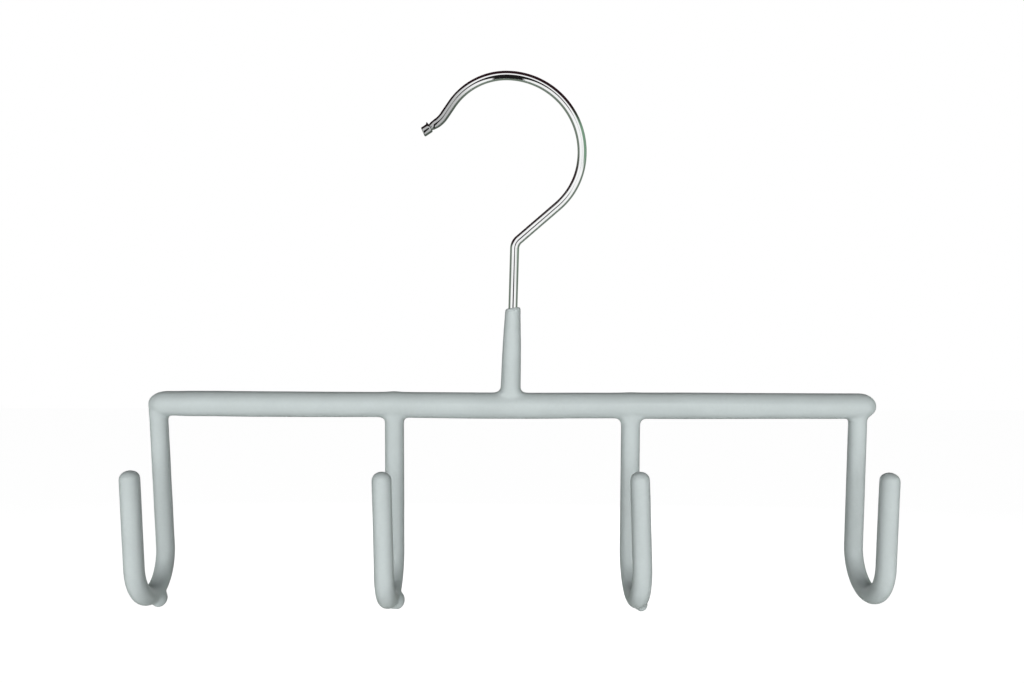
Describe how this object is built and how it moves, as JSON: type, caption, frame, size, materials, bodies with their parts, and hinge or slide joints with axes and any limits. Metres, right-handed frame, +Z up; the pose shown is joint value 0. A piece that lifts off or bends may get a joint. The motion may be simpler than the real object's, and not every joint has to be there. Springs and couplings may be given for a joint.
{
  "type": "belt hanger",
  "caption": "Wardrobe hanger for belts: a soft-coated steel crossbar with J-shaped belt hooks curving forward below it and a bright wire rod hook on a tapered neck above.",
  "frame": {"origin": "the inner face of the rod hook's wire, where it bears on a rod, straight above the middle of the crossbar", "axes": "+X along the crossbar, away from the rod hook's mouth; -Y is the side that the belt hooks open to; +Z up"},
  "size_m": [0.275, 0.036, 0.1986],
  "materials": {
    "grip_coating": "matt soft grey dip coating, faintly green",
    "hook_chrome": "bright plated wire",
    "frame_steel": "plain drawn steel, hidden in the coating",
    "weld_metal": "dull weld bead, hidden in the coating"
  },
  "bodies": {
    "root": {"crossbar_rod": "frame_steel", "crossbar_coating": "grip_coating", "rod_hook": "hook_chrome", "rod_hook_weld": "weld_metal", "neck_coating": "grip_coating", "belt_hook_1_wire": "frame_steel", "belt_hook_1_weld": "weld_metal", "belt_hook_1_coating": "grip_coating", "belt_hook_2_wire": "frame_steel", "belt_hook_2_weld": "weld_metal", "belt_hook_2_coating": "grip_coating", "belt_hook_3_wire": "frame_steel", "belt_hook_3_weld": "weld_metal", "belt_hook_3_coating": "grip_coating", "belt_hook_4_wire": "frame_steel", "belt_hook_4_weld": "weld_metal", "belt_hook_4_coating": "grip_coating"}
  },
  "joints": []
}
